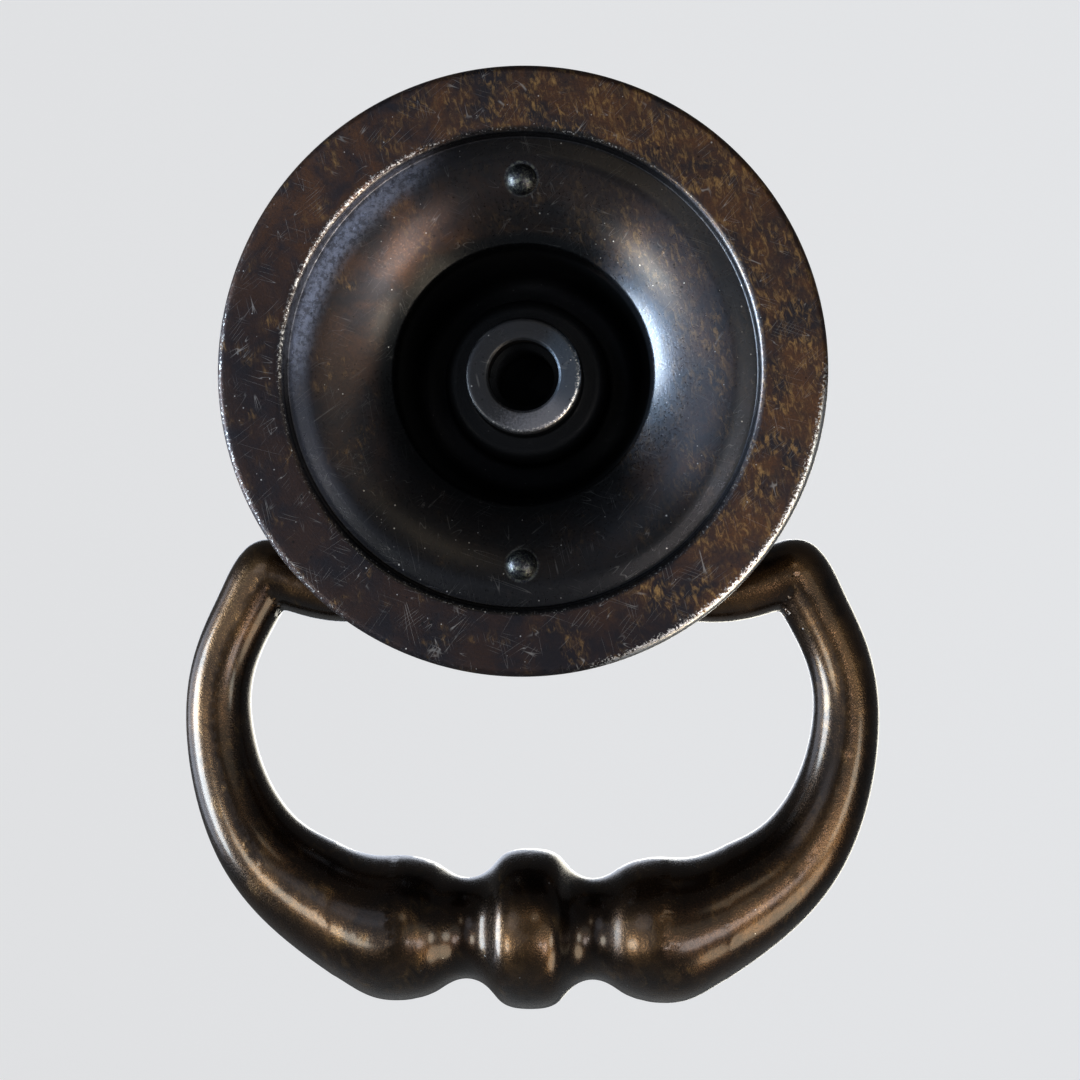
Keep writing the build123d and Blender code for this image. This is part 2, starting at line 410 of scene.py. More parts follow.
def drop_pull_plate():
    """The plate as one casting: turned body, knuckle on its web, and the two pips."""
    piece = turned_plate()
    web = knuckle_web()
    barrel = knuckle_barrel()
    join_solid(web, barrel_bore(), "DIFFERENCE")
    join_solid(barrel, web)
    join_solid(piece, barrel)
    for name, height in (("pip_above", pip_height), ("pip_below", -pip_height)):
        join_solid(piece, locating_pip(name, height))
    shade_smooth(piece, 40)
    return piece


def drop_pull_bail():
    """The bail, from the CAD node's own form, with the soft creases of a casting."""
    node = frame["nodes"]["bail"]
    piece = node.copy()
    piece.data = node.data.copy()
    piece.name = "drop_pull_bail"
    piece.data.name = "drop_pull_bail"
    bpy.context.collection.objects.link(piece)
    piece.parent = None
    piece.matrix_world.identity()
    edit(piece)
    finish_edit(piece)
    piece.data.remesh_voxel_size = casting_voxel
    bpy.ops.object.voxel_remesh()
    apply_modifier(piece, "SMOOTH", factor=0.5, iterations=8)
    edit(piece)
    inner = swell_middle - swell_blend_inner
    outer = swell_middle + swell_blend_outer
    select_where(piece, lambda point: inner < abs(point.x) < outer and point.z < hinge.z - swell_blend_drop)
    bpy.ops.mesh.vertices_smooth(factor=0.5, repeat=60)
    bpy.ops.object.mode_set(mode="OBJECT")
    make_active(piece)
    bpy.ops.object.shade_smooth()
    return piece


def screw_thread():
    """The thread's ridge in the screw hole: a small triangle wound up the hole."""
    root = screw_radius + 0.02 * MM
    crest = root - thread_height
    corners = [(root, thread_start), (crest, thread_start + thread_flank),
               (crest, thread_start + thread_flank + thread_crest),
               (root, thread_start + 2 * thread_flank + thread_crest)]
    piece = draw_line("screw_thread", beside_axis(corners))
    bpy.ops.mesh.select_all(action="SELECT")
    bpy.ops.mesh.edge_face_add()
    bpy.ops.object.mode_set(mode="OBJECT")
    apply_modifier(piece, "SCREW", axis="Y", angle=2 * math.pi, screw_offset=-thread_pitch,
                   iterations=thread_turns, steps=64, render_steps=64, use_merge_vertices=True,
                   merge_threshold=same_place)
    edit(piece)
    finish_edit(piece)
    shade_smooth(piece, 40)
    return piece


# Finishes of the old brass
blue_black = (0.020, 0.019, 0.025, 1)
chocolate = (0.085, 0.042, 0.024, 1)
golden_brown = (0.30, 0.185, 0.075, 1)
bronze_black = (0.012, 0.008, 0.006, 1)
umber = (0.028, 0.015, 0.008, 1)
rubbed_brass = (0.33, 0.19, 0.085, 1)
# Near-black for cast pits, and for the painted shade in the hollow and the throat.
pit_and_shade_black = (0.006, 0.007, 0.009, 1)
dull_green = (0.075, 0.085, 0.080, 1)
# Near-black for the painted shade on the plate's lower left.
shade_black = (0.010, 0.010, 0.014, 1)
dull_steel = (0.022, 0.024, 0.029, 1)
# Lighter steel for the boss's painted highlight.
steel_grey = (0.14, 0.147, 0.175, 1)
slate_blue = (0.022, 0.024, 0.033, 1)
# Pale blue-grey painted onto the slope's upper left as a highlight.
slope_highlight_slate = (0.20, 0.22, 0.285, 1)
# Cool steel-blue painted into the hollow's right side as the colour of its sheen.
sheen_steel = (0.036, 0.050, 0.072, 1)
worn_silver = (0.50, 0.51, 0.53, 1)
rim_roughness = 0.46
hollow_roughness = 0.34
front_roughness = 0.32
boss_roughness = 0.42
deep_roughness = 0.6
bare_roughness = 0.28
rim_coat = 0.1
hollow_coat = 0.6
unlit_side_coat = 0.25
throat_edge_coat = 0.12
boss_coat = 0.15


def add_node(tree, kind, **settings):
    node = tree.nodes.new(kind)
    for name, value in settings.items():
        setattr(node, name, value)
    return node


def feed(tree, socket, source):
    """Links a source into a socket, or writes a plain value there."""
    if isinstance(source, bpy.types.NodeSocket):
        tree.links.new(source, socket)
    else:
        socket.default_value = source


def calculate(tree, operation, first, second=0.0, clamp=False):
    node = add_node(tree, "ShaderNodeMath", operation=operation, use_clamp=clamp)
    feed(tree, node.inputs[0], first)
    feed(tree, node.inputs[1], second)
    return node.outputs[0]


def product(tree, first, *others):
    total = first
    for other in others:
        total = calculate(tree, "MULTIPLY", total, other)
    return total


def strongest(tree, first, *others):
    total = first
    for other in others:
        total = calculate(tree, "MAXIMUM", total, other)
    return total


def between(tree, value, low, high, out_low=0.0, out_high=1.0):
    """Rises smoothly from one output value to the other as the input goes from low to high."""
    node = add_node(tree, "ShaderNodeMapRange", interpolation_type="SMOOTHSTEP")
    for socket, source in zip(node.inputs, (value, low, high, out_low, out_high)):
        feed(tree, socket, source)
    return node.outputs[0]


def mix_colour(tree, share, first, second):
    node = add_node(tree, "ShaderNodeMix", data_type="RGBA")
    feed(tree, node.inputs[0], share)
    feed(tree, node.inputs[6], first)
    feed(tree, node.inputs[7], second)
    return node.outputs[2]


def mix_value(tree, share, first, second):
    node = add_node(tree, "ShaderNodeMix", data_type="FLOAT")
    feed(tree, node.inputs[0], share)
    feed(tree, node.inputs[2], first)
    feed(tree, node.inputs[3], second)
    return node.outputs[0]


def noise(tree, place, per_mm, detail=3.0, roughness=0.55, distortion=0.0):
    node = add_node(tree, "ShaderNodeTexNoise")
    feed(tree, node.inputs["Vector"], place)
    feed(tree, node.inputs["Scale"], per_mm)
    node.inputs["Detail"].default_value = detail
    node.inputs["Roughness"].default_value = roughness
    node.inputs["Distortion"].default_value = distortion
    return node.outputs["Fac"]


def stretched(tree, place, lengths, turn=0.0, offset=(0, 0, 0)):
    """Lengthens a pattern along each axis, after a turn in degrees about the screw's axis."""
    node = add_node(tree, "ShaderNodeMapping", vector_type="TEXTURE")
    feed(tree, node.inputs["Vector"], place)
    node.inputs["Location"].default_value = offset
    node.inputs["Rotation"].default_value = (0, math.radians(turn), 0)
    node.inputs["Scale"].default_value = lengths
    return node.outputs["Vector"]


def new_group(name, inputs, outputs):
    """A shader node group with named float or vector inputs and float outputs."""
    group = bpy.data.node_groups.new(name, "ShaderNodeTree")
    for label, kind, value in inputs:
        socket = group.interface.new_socket(name=label, in_out="INPUT", socket_type=kind)
        if value is not None:
            socket.default_value = value
    for label in outputs:
        group.interface.new_socket(name=label, in_out="OUTPUT", socket_type="NodeSocketFloat")
    return group, group.nodes.new("NodeGroupInput").outputs, group.nodes.new("NodeGroupOutput").inputs


def use_group(tree, group, **values):
    """Places a group in a tree; names with underscores stand for the inputs' names."""
    node = add_node(tree, "ShaderNodeGroup", node_tree=group)
    for name, value in values.items():
        feed(tree, node.inputs[name.replace("_", " ")], value)
    return node.outputs


def specks_group():
    """Scattered small dots: cast pits, or glints where the patina has chipped off."""
    group, given, result = new_group("Scattered specks", [
        ("Place", "NodeSocketVector", None), ("Per mm", "NodeSocketFloat", 1.0),
        ("Size", "NodeSocketFloat", 0.2), ("Share", "NodeSocketFloat", 0.3)], ["Mask"])
    warped = noise(group, given["Place"], 3.0, 0.0)
    cells = add_node(group, "ShaderNodeTexVoronoi", feature="F1")
    feed(group, cells.inputs["Vector"], given["Place"])
    feed(group, cells.inputs["Scale"], given["Per mm"])
    colour = add_node(group, "ShaderNodeSeparateColor")
    feed(group, colour.inputs[0], cells.outputs["Color"])
    chosen = calculate(group, "LESS_THAN", colour.outputs[0], given["Share"])
    own_size = calculate(group, "MULTIPLY", given["Size"], between(group, colour.outputs[1], 0, 1, 0.35, 1.0))
    ragged = calculate(group, "ADD", cells.outputs["Distance"],
                       between(group, warped, 0.3, 0.7, -0.06, 0.06))
    edge = calculate(group, "MULTIPLY", own_size, 0.55)
    dot = between(group, ragged, edge, own_size, 1.0, 0.0)
    feed(group, result["Mask"], calculate(group, "MULTIPLY", dot, chosen))
    return group


def scratches_group():
    """Fine straight scratches that cross at a few angles, in sparse patches."""
    group, given, result = new_group("Fine scratches", [
        ("Place", "NodeSocketVector", None), ("Per mm", "NodeSocketFloat", 3.0),
        ("Width", "NodeSocketFloat", 0.012)], ["Mask"])
    total = 0.0
    for index, angle in enumerate((14, 71, -38, 128)):
        lane = stretched(group, given["Place"], (1, 3, 13), angle, (index * 7.3, 0, index * 3.1))
        lines = noise(group, lane, given["Per mm"], 0.0)
        off_line = calculate(group, "ABSOLUTE", calculate(group, "SUBTRACT", lines, 0.5))
        line = between(group, off_line, 0.0, given["Width"], 1.0, 0.0)
        patch = noise(group, stretched(group, given["Place"], (1, 1, 1), 0, (index * 11.7, 5, 2)), 0.6, 0.0)
        kept = calculate(group, "MULTIPLY", line, between(group, patch, 0.56, 0.7))
        total = calculate(group, "MAXIMUM", kept, total)
    feed(group, result["Mask"], total)
    return group


def mottling_group():
    """Uneven patina: broad brown clouds on blue-black, streaky golden flecks, and a fine grain."""
    group, given, result = new_group("Patina mottling", [
        ("Place", "NodeSocketVector", None), ("Cloud per mm", "NodeSocketFloat", 0.2),
        ("Fleck per mm", "NodeSocketFloat", 1.2), ("Fleck bias", "NodeSocketFloat", 0.0)],
        ["Brown", "Flecks", "Grain"])
    clouds = noise(group, given["Place"], given["Cloud per mm"], 5.0, 0.7, 0.4)
    feed(group, result["Brown"], between(group, clouds, 0.36, 0.64))
    streaks = stretched(group, given["Place"], (1, 1, 2.4), 14)
    streaks = noise(group, streaks, given["Fleck per mm"], 4.0, 0.72, 0.7)
    regions = noise(group, stretched(group, given["Place"], (1, 1, 1), 0, (31, 7, 12)), 0.42, 2.0, 0.65)
    level = calculate(group, "ADD", regions, given["Fleck bias"])
    worn_through = between(group, level, 0.42, 0.72)
    feed(group, result["Flecks"],
         calculate(group, "MULTIPLY", between(group, streaks, 0.46, 0.72), worn_through))
    feed(group, result["Grain"], noise(group, given["Place"], 6.0, 3.0, 0.7))
    return group


def turned_edge_group():
    """How near a place is to one turned edge: 1 on it, fading out over the given width."""
    group, given, result = new_group("Turned edge", [
        ("Radius mm", "NodeSocketFloat", 0.0), ("Depth mm", "NodeSocketFloat", 0.0),
        ("Edge radius mm", "NodeSocketFloat", 0.0), ("Edge depth mm", "NodeSocketFloat", 0.0),
        ("Width mm", "NodeSocketFloat", 0.3)], ["Mask"])
    across = calculate(group, "SUBTRACT", given["Radius mm"], given["Edge radius mm"])
    along = calculate(group, "SUBTRACT", given["Depth mm"], given["Edge depth mm"])
    squares = calculate(group, "ADD", calculate(group, "MULTIPLY", across, across),
                        calculate(group, "MULTIPLY", along, along))
    distance = calculate(group, "SQRT", squares)
    feed(group, result["Mask"], between(group, distance, 0.0, given["Width mm"], 1.0, 0.0))
    return group


def new_material(name):
    material = bpy.data.materials.new(name)
    material.use_nodes = True
    tree = material.node_tree
    shader = next(node for node in tree.nodes if node.type == "BSDF_PRINCIPLED")
    return material, tree, shader


def place_in_mm(tree):
    coordinates = add_node(tree, "ShaderNodeTexCoord")
    scale = add_node(tree, "ShaderNodeVectorMath", operation="SCALE")
    feed(tree, scale.inputs[0], coordinates.outputs["Object"])
    scale.inputs["Scale"].default_value = 1 / MM
    return scale.outputs[0]


def sum_heights(tree, parts):
    """Adds up heights in millimetres, each a mask times its own height."""
    total = 0.0
    for mask, height in parts:
        total = calculate(tree, "ADD", calculate(tree, "MULTIPLY", mask, height), total)
    return total


def bump(tree, height):
    node = add_node(tree, "ShaderNodeBump")
    node.inputs["Strength"].default_value = 1.0
    node.inputs["Distance"].default_value = MM
    feed(tree, node.inputs["Height"], height)
    return node.outputs["Normal"]


def turned_place(tree, place):
    """Radius from the screw's axis and depth in front of the rim's plane, with the place's own parts."""
    parts = add_node(tree, "ShaderNodeSeparateXYZ")
    feed(tree, parts.inputs[0], place)
    flat = add_node(tree, "ShaderNodeCombineXYZ")
    feed(tree, flat.inputs[0], parts.outputs[0])
    feed(tree, flat.inputs[2], parts.outputs[2])
    length = add_node(tree, "ShaderNodeVectorMath", operation="LENGTH")
    feed(tree, length.inputs[0], flat.outputs[0])
    depth = calculate(tree, "MULTIPLY", parts.outputs[1], -1.0)
    return length.outputs["Value"], depth, parts.outputs[0], parts.outputs[2]


def facing_front(tree):
    """1 where the surface faces the room, 0 where it faces the drawer."""
    coordinates = add_node(tree, "ShaderNodeTexCoord")
    parts = add_node(tree, "ShaderNodeSeparateXYZ")
    feed(tree, parts.inputs[0], coordinates.outputs["Normal"])
    return between(tree, parts.outputs[1], -0.4, -0.05, 1.0, 0.0)


def along_direction(tree, across, up, azimuth, start, end):
    """Rises from 0 to 1 as a place moves, in millimetres, towards an azimuth of the photograph."""
    turn = math.radians(azimuth)
    sideways = calculate(tree, "MULTIPLY", across, -math.cos(turn))
    upwards = calculate(tree, "MULTIPLY", up, math.sin(turn))
    return between(tree, calculate(tree, "ADD", sideways, upwards), start, end)


def near_pip(tree, across, up):
    """1 on the two locating pips, 0 elsewhere."""
    beside = calculate(tree, "SUBTRACT", calculate(tree, "ABSOLUTE", up), mm(pip_height))
    squares = calculate(tree, "ADD", calculate(tree, "MULTIPLY", across, across),
                        calculate(tree, "MULTIPLY", beside, beside))
    return between(tree, calculate(tree, "SQRT", squares), mm(pip_radius), mm(pip_radius) + 0.15, 1.0, 0.0)


def worn_edges(tree, groups, radius, depth, edges):
    """The strongest of several turned edges' wear, each an edge's radius, depth, width and strength."""
    total = 0.0
    for edge_radius, edge_depth, width, strength in edges:
        near = use_group(tree, groups["edge"], Radius_mm=radius, Depth_mm=depth,
                         Edge_radius_mm=mm(edge_radius), Edge_depth_mm=mm(edge_depth),
                         Width_mm=width)["Mask"]
        total = calculate(tree, "MAXIMUM", calculate(tree, "MULTIPLY", near, strength), total)
    return total


def plate_sides(tree, across, up, radius):
    """Shares of the plate's sides as the photograph shows them; right and rubbed go by angle alone."""
    turned_across = calculate(tree, "DIVIDE", across, radius)
    turned_up = calculate(tree, "DIVIDE", up, radius)
    right = along_direction(tree, turned_across, turned_up, 8, 0.5, 0.92)
    left_hollow = along_direction(tree, turned_across, turned_up, 168, 0.4, 0.9)
    return {
        "golden": along_direction(tree, across, up, 25, -14.0, 16.0),
        # The next share falls to 0 towards the lower left, where painted shade darkens the plate.
        "brown": along_direction(tree, across, up, 50, -16.0, 6.0),
        # Lower right and left: where the outer edge's silver is strengthened, partly a painted highlight.
        "lower_right_lit": along_direction(tree, across, up, -38, 14.0, 19.5),
        "left": along_direction(tree, across, up, 195, 13.0, 19.5),
        # Upper left: where the slope and the rim's inner edge get painted highlights.
        "upper_left_lit": along_direction(tree, across, up, 147, 11.8, 15.2),
        # Boss, lower right: where its edge and face are lightened as a painted highlight.
        "boss_lit_side": along_direction(tree, across, up, -38, -1.5, 4.6),
        # Right side of the hollow: spared the painted shade, and given the painted sheen.
        "right": right,
        # Left and right of the hollow: kept free of the painted shade, with a thicker gloss.
        "rubbed": strongest(tree, left_hollow, right)}


def plate_regions(tree, radius, depth, across, up, sides):
    """Shares of the plate's own parts: front, hollow, throat, ridge's slope, boss, pips and painted shade."""
    front = facing_front(tree)
    back = calculate(tree, "SUBTRACT", 1.0, front)
    in_hollow = between(tree, radius, mm(rim_inner_radius) - 0.15, mm(rim_inner_radius) + 0.1, 1.0, 0.0)
    in_throat = between(tree, radius, mm(throat_radius) - 0.1, mm(throat_radius) + 0.3, 1.0, 0.0)
    in_bore = between(tree, radius, mm(screw_radius) - 0.05, mm(screw_mouth_radius) - 0.04, 1.0, 0.0)
    down_bore = product(tree, between(tree, depth, mm(boss_depth) + 0.05, mm(boss_depth) + 0.4), in_bore)
    below_boss = between(tree, depth, mm(boss_depth) + 0.6, mm(boss_depth) + 2.2)
    # Painted shade: a band round the throat's edge, spared on the right side, is darkened towards near-black.
    shade_by_throat = between(tree, radius, mm(throat_radius) + 0.5, mm(throat_radius) + 2.4, 1.0, 0.0)
    shade_by_throat = product(tree, shade_by_throat, between(tree, sides["right"], 0.0, 1.0, 1.0, 0.0))
    # Painted shade also falls on the hollow's top and bottom, away from its lit left and right sides.
    shaded_hollow = strongest(tree, shade_by_throat, between(tree, sides["rubbed"], 0.0, 1.0, 0.85, 0.0))
    past_ridge = between(tree, radius, mm(ridge_radius) - 1.0, mm(ridge_radius) + 0.3)
    before_rim = between(tree, radius, mm(wall_top_radius), mm(rim_inner_radius) - 0.2, 1.0, 0.0)
    beside_hole = between(tree, radius, mm(boss_radius) + 0.2, mm(boss_radius) + 0.7, 1.0, 0.0)
    above_collar = between(tree, depth, mm(boss_depth) + 0.5, mm(boss_depth) + 1.6, 1.0, 0.0)
    return {
        "front": front,
        "back": back,
        "in_hollow": in_hollow,
        # The deep throat and the screw hole are darkened to near-black as painted shade.
        "deep": product(tree, strongest(tree, down_bore, below_boss), in_throat, back),
        "shade_by_throat": shade_by_throat,
        "painted_shade": product(tree, shaded_hollow, in_hollow, back),
        "on_slope": product(tree, past_ridge, before_rim, back),
        "on_boss": product(tree, beside_hole, above_collar),
        "on_pip": product(tree, near_pip(tree, across, up), in_hollow)}


def plate_patterns(tree, groups, place, radius, sides):
    """The patina's clouds, flecks and scratches, and the marks of casting and turning."""
    mottling = use_group(tree, groups["mottling"], Place=place, Cloud_per_mm=0.24, Fleck_per_mm=3.0,
                         Fleck_bias=between(tree, sides["golden"], 0.0, 1.0, -0.1, 0.12))
    rings = add_node(tree, "ShaderNodeCombineXYZ")
    feed(tree, rings.inputs[0], radius)
    return {
        "brown": mottling["Brown"],
        "flecks": mottling["Flecks"],
        "grain": mottling["Grain"],
        "scratches": use_group(tree, groups["scratches"], Place=place, Per_mm=2.2, Width=0.01)["Mask"],
        "pits": use_group(tree, groups["specks"], Place=place, Per_mm=1.8, Size=0.2, Share=0.22)["Mask"],
        "glints": use_group(tree, groups["specks"], Place=place, Per_mm=3.3, Size=0.19, Share=0.09)["Mask"],
        "turning": noise(tree, rings.outputs[0], 6.0, 1.0, 0.7),
        "ragged": noise(tree, place, 2.6, 3.0, 0.75),
        "crumbly": noise(tree, place, 5.0, 2.0, 0.8),
        "uneven": noise(tree, place, 0.45, 1.0, 0.5)}


def back_edge_wear_and_highlight(tree, groups, radius, depth, sides, patterns):
    """Silvery wear on the rim's two edges and the boss, crumbly, and stronger on some sides as a painted
    highlight.
    """
    inner = worn_edges(tree, groups, radius, depth, (
        (rim_inner_radius - 0.13 * MM, 0.13 * MM, 0.4, 0.9),))
    # Painted highlight: the wear brightens towards the lit sides of each edge.
    inner = product(tree, inner, between(tree, sides["upper_left_lit"], 0.0, 1.0, 0.45, 1.0))
    boss = worn_edges(tree, groups, radius, depth, ((boss_radius, boss_depth, 0.7, 0.95),))
    boss = product(tree, boss, between(tree, sides["boss_lit_side"], 0.0, 1.0, 0.25, 1.0))
    outer = worn_edges(tree, groups, radius, depth, ((plate_radius - 0.1 * MM, 0.1 * MM, 0.9, 1.0),))
    outer_share = strongest(tree, sides["lower_right_lit"], product(tree, sides["left"], 0.3))
    outer = product(tree, outer, between(tree, outer_share, 0.0, 1.0, 0.2, 1.35))
    wear = calculate(tree, "ADD", strongest(tree, inner, boss, outer),
                     between(tree, patterns["crumbly"], 0.3, 0.7, -0.6, 0.4))
    return between(tree, wear, 0.5, 1.05)


def front_edge_wear(tree, groups, radius, depth, regions, patterns):
    """Golden wear on the front's rim, bead and drum."""
    wear = worn_edges(tree, groups, radius, depth, (
        (plate_radius, rim_thickness, 0.9, 0.8), (bead_middle, bead_height, 1.3, 0.8),
        (drum_radius - 0.35 * MM, dome_edge_depth + 0.45 * MM, 1.6, 0.8)))
    wear = calculate(tree, "ADD", wear, between(tree, patterns["flecks"], 0.0, 1.0, -0.15, 0.25))
    return product(tree, between(tree, wear, 0.2, 1.0), regions["front"])


def bare_metal(tree, regions, patterns, silver):
    """Where bare metal shows: scratches, glints and silvery edges, partly painted highlights; hardly any down
    the throat.
    """
    scratched = product(tree, patterns["scratches"], mix_value(tree, regions["in_hollow"], 0.3, 0.1))
    bare = strongest(tree, scratched, product(tree, patterns["glints"], 0.7), silver)
    return product(tree, bare, between(tree, regions["deep"], 0.0, 1.0, 1.0, 0.1))


def patina_colour(tree, sides, regions, patterns):
    """Brown clouds, golden flecks and painted shade to the lower left; the boss in dark steel with a painted
    highlight.
    """
    colour = mix_colour(tree, patterns["brown"], blue_black, chocolate)
    colour = mix_colour(tree, between(tree, patterns["grain"], 0.35, 0.7, 0.0, 0.5), colour, blue_black)
    # Painted shade: the plate darkens towards near-black on its lower left.
    colour = mix_colour(tree, between(tree, sides["brown"], 0.0, 1.0, 0.75, 0.0), colour, shade_black)
    colour = mix_colour(tree, product(tree, patterns["flecks"], 0.8), colour, golden_brown)
    # Painted highlight, mixed with crumbly noise: the boss lightens to steel-grey towards its lower right.
    boss_share = calculate(tree, "ADD", sides["boss_lit_side"], patterns["crumbly"])
    boss_colour = mix_colour(tree, between(tree, boss_share, 0.55, 1.45), dull_steel, steel_grey)
    return mix_colour(tree, regions["on_boss"], colour, boss_colour)


def plate_colour(tree, radius, sides, regions, patterns, gold, bare):
    """Patina, then over it: slope and its painted highlight, front, painted sheen and shade, pips, bare
    metal, pits.
    """
    colour = patina_colour(tree, sides, regions, patterns)
    # Painted highlight: the ridge's slope turns pale blue-grey towards the upper left, broken up by ragged
    # noise.
    slope_highlight = product(tree, sides["upper_left_lit"], between(tree, patterns["ragged"], 0.36, 0.6, 0.25, 1.0))
    slope_colour = mix_colour(tree, slope_highlight, slate_blue, slope_highlight_slate)
    colour = mix_colour(tree, product(tree, regions["on_slope"], 0.85), colour, slope_colour)
    colour = mix_colour(tree, product(tree, regions["front"], 0.6), colour, bronze_black)
    colour = mix_colour(tree, gold, colour, rubbed_brass)
    # Painted reflection: near the throat the hollow's right side is tinted cool steel-blue, the colour of its
    # sheen.
    near_throat = between(tree, radius, mm(throat_radius) + 0.4, mm(throat_radius) + 5.9, 0.85, 0.35)
    sheen_tint = product(tree, sides["right"], near_throat, regions["in_hollow"], regions["back"])
    colour = mix_colour(tree, sheen_tint, colour, sheen_steel)
    # Painted shade: the hollow's shaded parts and the deep throat turn near-black, sparing the boss and the
    # slope's highlight.
    left_unshaded = strongest(tree, regions["on_boss"], slope_highlight)
    painted_shade = calculate(tree, "SUBTRACT", regions["painted_shade"], left_unshaded, True)
    colour = mix_colour(tree, strongest(tree, regions["deep"], painted_shade), colour, pit_and_shade_black)
    pip_colour = mix_colour(tree, between(tree, patterns["crumbly"], 0.45, 0.62), slate_blue, dull_green)
    colour = mix_colour(tree, product(tree, regions["on_pip"], 0.9), colour, pip_colour)
    colour = mix_colour(tree, bare, colour, worn_silver)
    return mix_colour(tree, product(tree, patterns["pits"], 0.7), colour, pit_and_shade_black)


def plate_roughness(tree, regions, patterns, bare):
    rough = mix_value(tree, regions["in_hollow"], rim_roughness, hollow_roughness)
    rough = calculate(tree, "ADD", rough, between(tree, patterns["grain"], 0.3, 0.7, -0.06, 0.08))
    rough = calculate(tree, "ADD", rough, between(tree, patterns["crumbly"], 0.35, 0.65, -0.05, 0.07))
    rough = mix_value(tree, regions["front"], rough, front_roughness)
    rough = mix_value(tree, regions["on_boss"], rough, boss_roughness)
    rough = mix_value(tree, regions["deep"], rough, deep_roughness)
    return mix_value(tree, bare, rough, bare_roughness)


def plate_coat(tree, sides, regions):
    """Waxy gloss: thick on the hollow's left and right, thin at its top, bottom and throat edge, faint deep
    inside.
    """
    coat = between(tree, sides["rubbed"], 0.0, 1.0, unlit_side_coat, hollow_coat)
    coat = mix_value(tree, regions["in_hollow"], rim_coat, coat)
    coat = mix_value(tree, regions["shade_by_throat"], coat, throat_edge_coat)
    coat = product(tree, coat, between(tree, regions["deep"], 0.0, 1.0, 1.0, 0.1))
    return mix_value(tree, strongest(tree, regions["on_boss"], regions["on_pip"]), coat, boss_coat)


def plate_material(groups):
    """Antiqued brass as left on the plate's back: matt red-brown patina with rubbed edges, and painted light
    and shade.
    """
    material, tree, shader = new_material("antiqued_plate_brass")
    place = place_in_mm(tree)
    radius, depth, across, up = turned_place(tree, place)
    sides = plate_sides(tree, across, up, radius)
    regions = plate_regions(tree, radius, depth, across, up, sides)
    patterns = plate_patterns(tree, groups, place, radius, sides)
    silver = back_edge_wear_and_highlight(tree, groups, radius, depth, sides, patterns)
    gold = front_edge_wear(tree, groups, radius, depth, regions, patterns)
    bare = bare_metal(tree, regions, patterns, silver)
    colour = plate_colour(tree, radius, sides, regions, patterns, gold, bare)
    feed(tree, shader.inputs["Base Color"], colour)
    feed(tree, shader.inputs["Metallic"], between(tree, bare, 0.0, 1.0, 0.95, 1.0))
    feed(tree, shader.inputs["Roughness"], plate_roughness(tree, regions, patterns, bare))
    feed(tree, shader.inputs["Coat Weight"], plate_coat(tree, sides, regions))
    shader.inputs["Coat Roughness"].default_value = 0.25
    height = sum_heights(tree, [(patterns["uneven"], 0.06), (patterns["turning"], 0.008),
                                (patterns["crumbly"], 0.022)])
    feed(tree, shader.inputs["Normal"], bump(tree, height))
    return material


def bail_rubbing_and_sheen(tree, patterns):
    """How far the patina is rubbed through on what stands proud, with a painted golden sheen where it faces
    the drawer.
    """
    worn = add_node(tree, "ShaderNodeAttribute", attribute_name="rubbed")
    coordinates = add_node(tree, "ShaderNodeTexCoord")
    facing = add_node(tree, "ShaderNodeSeparateXYZ")
    feed(tree, facing.inputs[0], coordinates.outputs["Normal"])
    # Painted sheen: proud places that face the drawer are pushed further towards golden brass.
    proud_sheen = product(tree, worn.outputs["Fac"], between(tree, facing.outputs[1], 0.78, 0.98))
    rubbed = calculate(tree, "ADD", worn.outputs["Fac"], proud_sheen)
    rubbed = calculate(tree, "ADD", rubbed, between(tree, patterns["Brown"], 0.0, 1.0, -0.3, 0.15))
    rubbed = calculate(tree, "ADD", rubbed, between(tree, patterns["Flecks"], 0.0, 1.0, -0.15, 0.15))
    return between(tree, rubbed, 0.25, 2.1, 0.0, 0.38)


def bail_colour(tree, groups, place, patterns):
    pits = use_group(tree, groups["specks"], Place=place, Per_mm=1.1, Size=0.13, Share=0.2)["Mask"]
    glints = use_group(tree, groups["specks"], Place=place, Per_mm=1.9, Size=0.1, Share=0.05)["Mask"]
    colour = mix_colour(tree, patterns["Brown"], bronze_black, umber)
    colour = mix_colour(tree, product(tree, patterns["Flecks"], 0.25), colour, golden_brown)
    colour = mix_colour(tree, bail_rubbing_and_sheen(tree, patterns), colour, rubbed_brass)
    colour = mix_colour(tree, between(tree, patterns["Grain"], 0.35, 0.7, 0.0, 0.25), colour, bronze_black)
    colour = mix_colour(tree, product(tree, pits, 0.6), colour, pit_and_shade_black)
    return mix_colour(tree, product(tree, glints, 0.5), colour, worn_silver)


def bail_material(groups):
    """Antiqued brass as rubbed by hands: glossier, golden-brown where it stands proud, with a painted sheen
    on its drawer side.
    """
    material, tree, shader = new_material("antiqued_bail_brass")
    place = place_in_mm(tree)
    patterns = use_group(tree, groups["mottling"], Place=place, Cloud_per_mm=0.14, Fleck_per_mm=0.9,
                         Fleck_bias=0.0)
    feed(tree, shader.inputs["Base Color"], bail_colour(tree, groups, place, patterns))
    shader.inputs["Metallic"].default_value = 0.95
    feed(tree, shader.inputs["Roughness"], between(tree, patterns["Grain"], 0.25, 0.75, 0.2, 0.32))
    shader.inputs["Coat Weight"].default_value = 0.4
    shader.inputs["Coat Roughness"].default_value = 0.16
    uneven = noise(tree, place, 0.35, 1.0, 0.5)
    grain = noise(tree, place, 6.0, 2.0, 0.7)
    feed(tree, shader.inputs["Normal"], bump(tree, sum_heights(tree, [(uneven, 0.05), (grain, 0.02)])))
    return material


